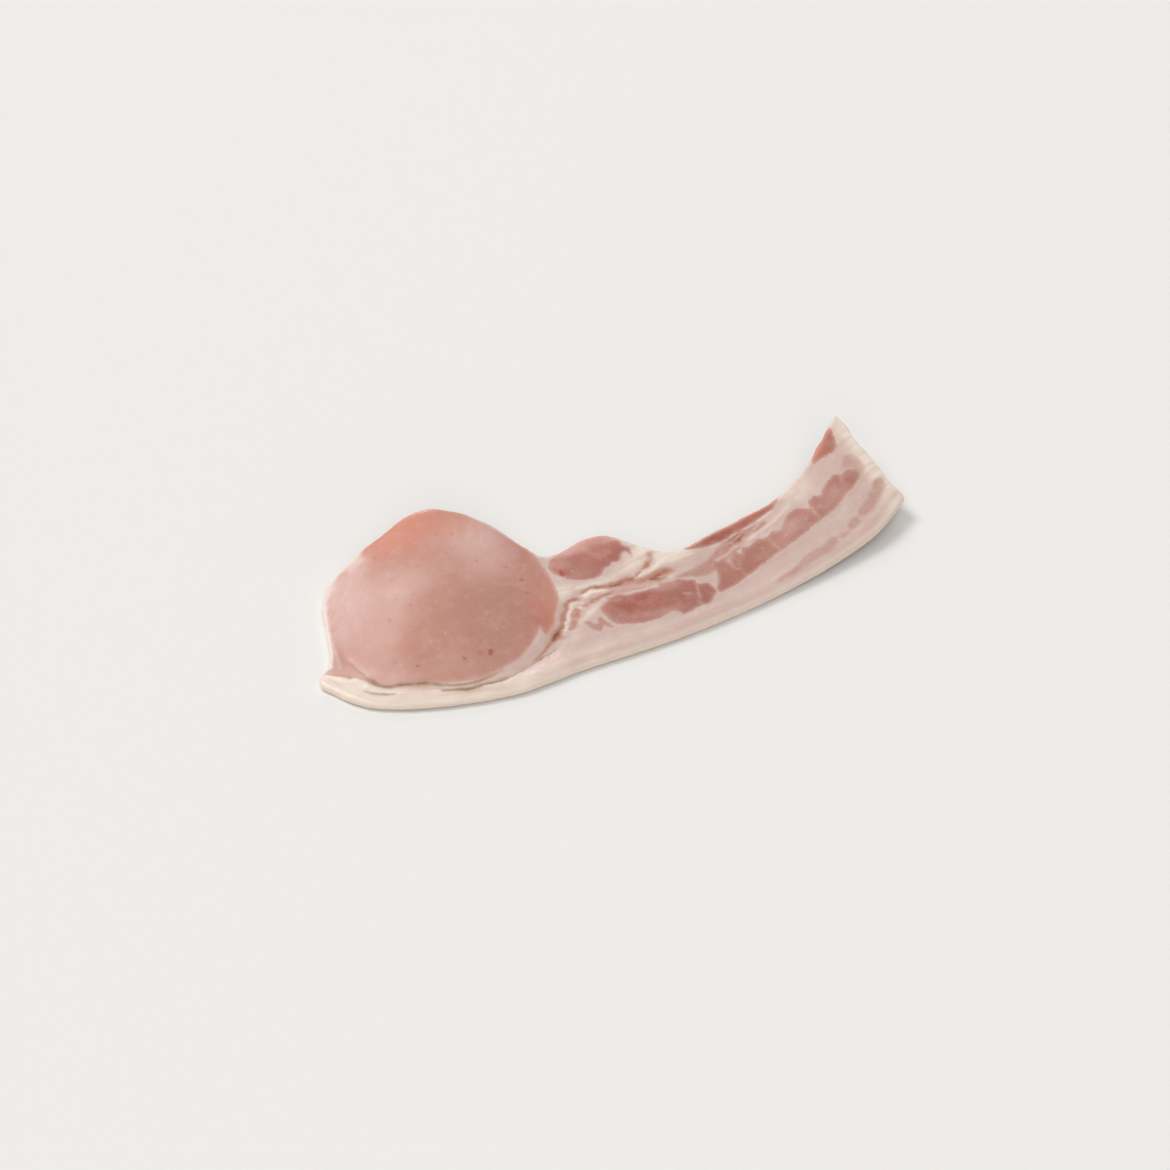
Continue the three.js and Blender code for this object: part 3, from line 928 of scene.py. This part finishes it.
def curedPork():
    # raw cured pork, sliced cold: moist and slightly see-through, lean with a fine grain, fat smooth and waxy
    material = bpy.data.materials.new("raw cured pork, lean and fat")
    material.use_nodes = True
    tree = material.node_tree
    tree.nodes.clear()
    where = addNode(tree, "TexCoord", output="Object")
    layer = {name: addNode(tree, "Attribute", {"attribute_name": name}, None, "Fac") for name in faceLayers}
    grain = {}
    for name, (size, detail) in pork["grains"].items():
        grain[name] = addNode(tree, "TexNoise", None, {
            "Vector": where, "Scale": 1 / (size * mm), "Detail": detail})
    swing = {}
    for name, (noiseName, (low, high), (atLow, atHigh)) in pork["swings"].items():
        swing[name] = addNode(tree, "MapRange", None, {
            "Value": grain[noiseName], "From Min": low, "From Max": high, "To Min": atLow, "To Max": atHigh})
    parts = {**layer, **grain}
    for name, gap in (("pores", pork["poreGap"]), ("specks", pork["speckGap"])):
        parts[name] = addNode(tree, "TexVoronoi", None, {
            "Vector": where, "Scale": 1 / (gap * mm)}, "Distance")
    fibreWay = addNode(tree, "Mapping", {"vector_type": "TEXTURE"}, {
        "Vector": where, "Rotation": (0, 0, math.radians(pork["fibreTurn"])),
        "Scale": [size * mm for size in pork["fibreSize"]]})
    fibres = addNode(tree, "TexNoise", None, {
        "Vector": fibreWay, "Scale": 1.0, "Detail": pork["streakDetail"]})
    rindWay = addNode(tree, "CombineXYZ", None, {"X": layer["along"], "Y": layer["across"]})
    rindWay = addNode(tree, "Mapping", None, {
        "Vector": rindWay, "Scale": [1 / size for size in pork["layerSize"]] + [1.0]})
    streaks = addNode(tree, "TexNoise", None, {
        "Vector": rindWay, "Scale": 1.0, "Detail": pork["streakDetail"]})

    # where lean ends and fat begins: smooth round the eye, ragged round the streaks
    (smoothRed, smoothShift), (raggedRed, raggedShift) = pork["smoothBorder"], pork["raggedBorder"]
    ragged = addNode(tree, "MapRange", None, {
        "Value": layer["redness"], "From Min": smoothRed, "From Max": raggedRed,
        "To Min": smoothShift, "To Max": raggedShift})
    shift = addNode(tree, "Math", {"operation": "SUBTRACT"}, {0: grain["border"], 1: pork["noiseMiddle"]})
    shift = addNode(tree, "Math", {"operation": "MULTIPLY_ADD"}, {0: shift, 1: ragged, 2: layer["lean"]})
    fatEnd, leanEnd = pork["borderFade"]
    lean = addNode(tree, "MapRange", {"interpolation_type": "SMOOTHSTEP"}, {
        "Value": shift, "From Min": fatEnd, "From Max": leanEnd})

    parts["tone"] = addNode(tree, "Math", {"operation": "ADD"}, {0: layer["redness"], 1: swing["tone"]})
    parts["paleFibres"] = addNode(tree, "Math", {"operation": "MULTIPLY"}, {0: fibres, 1: layer["paleAndSheen"]})
    leanColour = layColours(tree, pork["leanMid"], parts, pork["leanLayers"])

    # fat: cream at the rim, pinker in the belly, in faint layers that run with the rind
    parts["streaks"] = streaks
    parts["creamy"] = addNode(tree, "Math", {"operation": "ADD"}, {0: layer["creamAndPaintedLight"], 1: swing["creamAndPaintedLight"]})
    parts["blotchy"] = addNode(tree, "Math", {"operation": "MULTIPLY"}, {
        0: layer["tintAndShade"], 1: swing["blotch"]})
    rindEdge, rindInner = pork["rindFade"]
    parts["rind"] = addNode(tree, "MapRange", None, {
        "Value": layer["across"], "From Min": rindEdge, "From Max": rindInner, "To Min": 1.0, "To Max": 0.0})
    fatColour = layColours(tree, pork["fatPink"], parts, pork["fatLayers"])

    # lean over fat, and then the seams, whose brown is partly painted shade in the crease, broken up as if
    # dusty, and the pits
    share = addNode(tree, "MapRange", {"interpolation_type": "SMOOTHSTEP"}, {"Value": lean})
    colour = addNode(tree, "Mix", {"data_type": "RGBA"}, {0: share, 6: fatColour, 7: leanColour}, 2)
    for name, line in (("brown", "seam"), ("olive", "shade")):
        parts[name] = addNode(tree, "Math", {"operation": "MULTIPLY"}, {0: layer[line], 1: swing["dust"]})
    colour = layColours(tree, colour, parts, pork["foldLayers"])

    # wetter and drier places, the grain of the lean and the waxy layers of the fat
    rough = addNode(tree, "MapRange", None, {
        "Value": lean, "To Min": pork["roughFat"], "To Max": pork["roughLean"]})
    rough = addNode(tree, "Math", {"operation": "ADD"}, {0: rough, 1: swing["wet"]})
    waxy = addNode(tree, "Math", {"operation": "MULTIPLY"}, {0: grain["waxy"], 1: pork["waxyRelief"]})
    waxy = addNode(tree, "Math", {"operation": "MULTIPLY_ADD"}, {0: streaks, 1: pork["layerRelief"], 2: waxy})
    grainy = addNode(tree, "Math", {"operation": "MULTIPLY"}, {0: grain["fine"], 1: pork["grainRelief"]})
    height = addNode(tree, "Mix", {"data_type": "FLOAT"}, {0: lean, 2: waxy, 3: grainy})
    bump = addNode(tree, "Bump", None, {"Height": height, "Distance": mm})

    surface = addNode(tree, "BsdfPrincipled", None, {
        "Base Color": colour, "Roughness": rough, "Normal": bump, "IOR": pork["ior"],
        "Subsurface Weight": pork["glow"], "Subsurface Radius": pork["glowColour"],
        "Subsurface Scale": pork["glowDepth"] * mm,
        "Coat Weight": pork["moisture"], "Coat Roughness": pork["moistureRoughness"]})
    addNode(tree, "OutputMaterial", None, {"Surface": surface})
    return material


piece.data.materials.append(curedPork())
print("slice finished in", piece.data.materials[0].name)

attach(piece, "root")
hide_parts("rasher")
